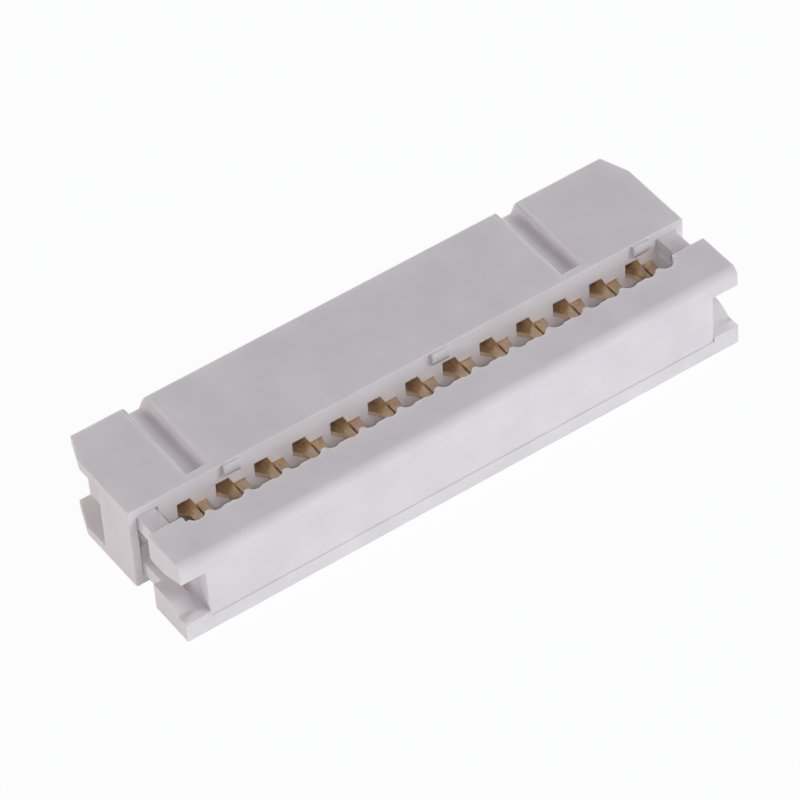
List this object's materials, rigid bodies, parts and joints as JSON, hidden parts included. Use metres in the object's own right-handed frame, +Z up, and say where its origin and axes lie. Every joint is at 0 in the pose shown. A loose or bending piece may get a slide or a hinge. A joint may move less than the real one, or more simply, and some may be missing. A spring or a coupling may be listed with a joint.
{
  "type": "insulation displacement connector",
  "caption": "Two-row ribbon-cable socket: a moulded bar with brass fork contacts in its cable face, and a grooved cover on latch legs that presses the flat cable onto the forks.",
  "frame": {"origin": "Middle of the box round the whole part with its cover open, on the long side that it lies on", "axes": "+X along the contact rows, +Y out of the mating face, +Z up, across the two rows"},
  "size_m": [0.0376, 0.0122, 0.0059],
  "materials": {
    "housing_plastic": "satin",
    "cover_plastic": "satin",
    "contact_brass": "polished"
  },
  "bodies": {
    "socket": {"housing": "housing_plastic", "upper_contact_1": "contact_brass", "upper_contact_2": "contact_brass", "upper_contact_3": "contact_brass", "upper_contact_4": "contact_brass", "upper_contact_5": "contact_brass", "upper_contact_6": "contact_brass", "upper_contact_7": "contact_brass", "upper_contact_8": "contact_brass", "upper_contact_9": "contact_brass", "upper_contact_10": "contact_brass", "upper_contact_11": "contact_brass", "upper_contact_12": "contact_brass", "upper_contact_13": "contact_brass", "lower_contact_1": "contact_brass", "lower_contact_2": "contact_brass", "lower_contact_3": "contact_brass", "lower_contact_4": "contact_brass", "lower_contact_5": "contact_brass", "lower_contact_6": "contact_brass", "lower_contact_7": "contact_brass", "lower_contact_8": "contact_brass", "lower_contact_9": "contact_brass", "lower_contact_10": "contact_brass", "lower_contact_11": "contact_brass", "lower_contact_12": "contact_brass", "lower_contact_13": "contact_brass"},
    "press_cover": {"cover": "cover_plastic"}
  },
  "joints": [
    {"name": "cover_press", "type": "slide", "parent": "socket", "child": "press_cover", "axis": [0, 1, 0], "range_m": [0, 0.0019]}
  ]
}
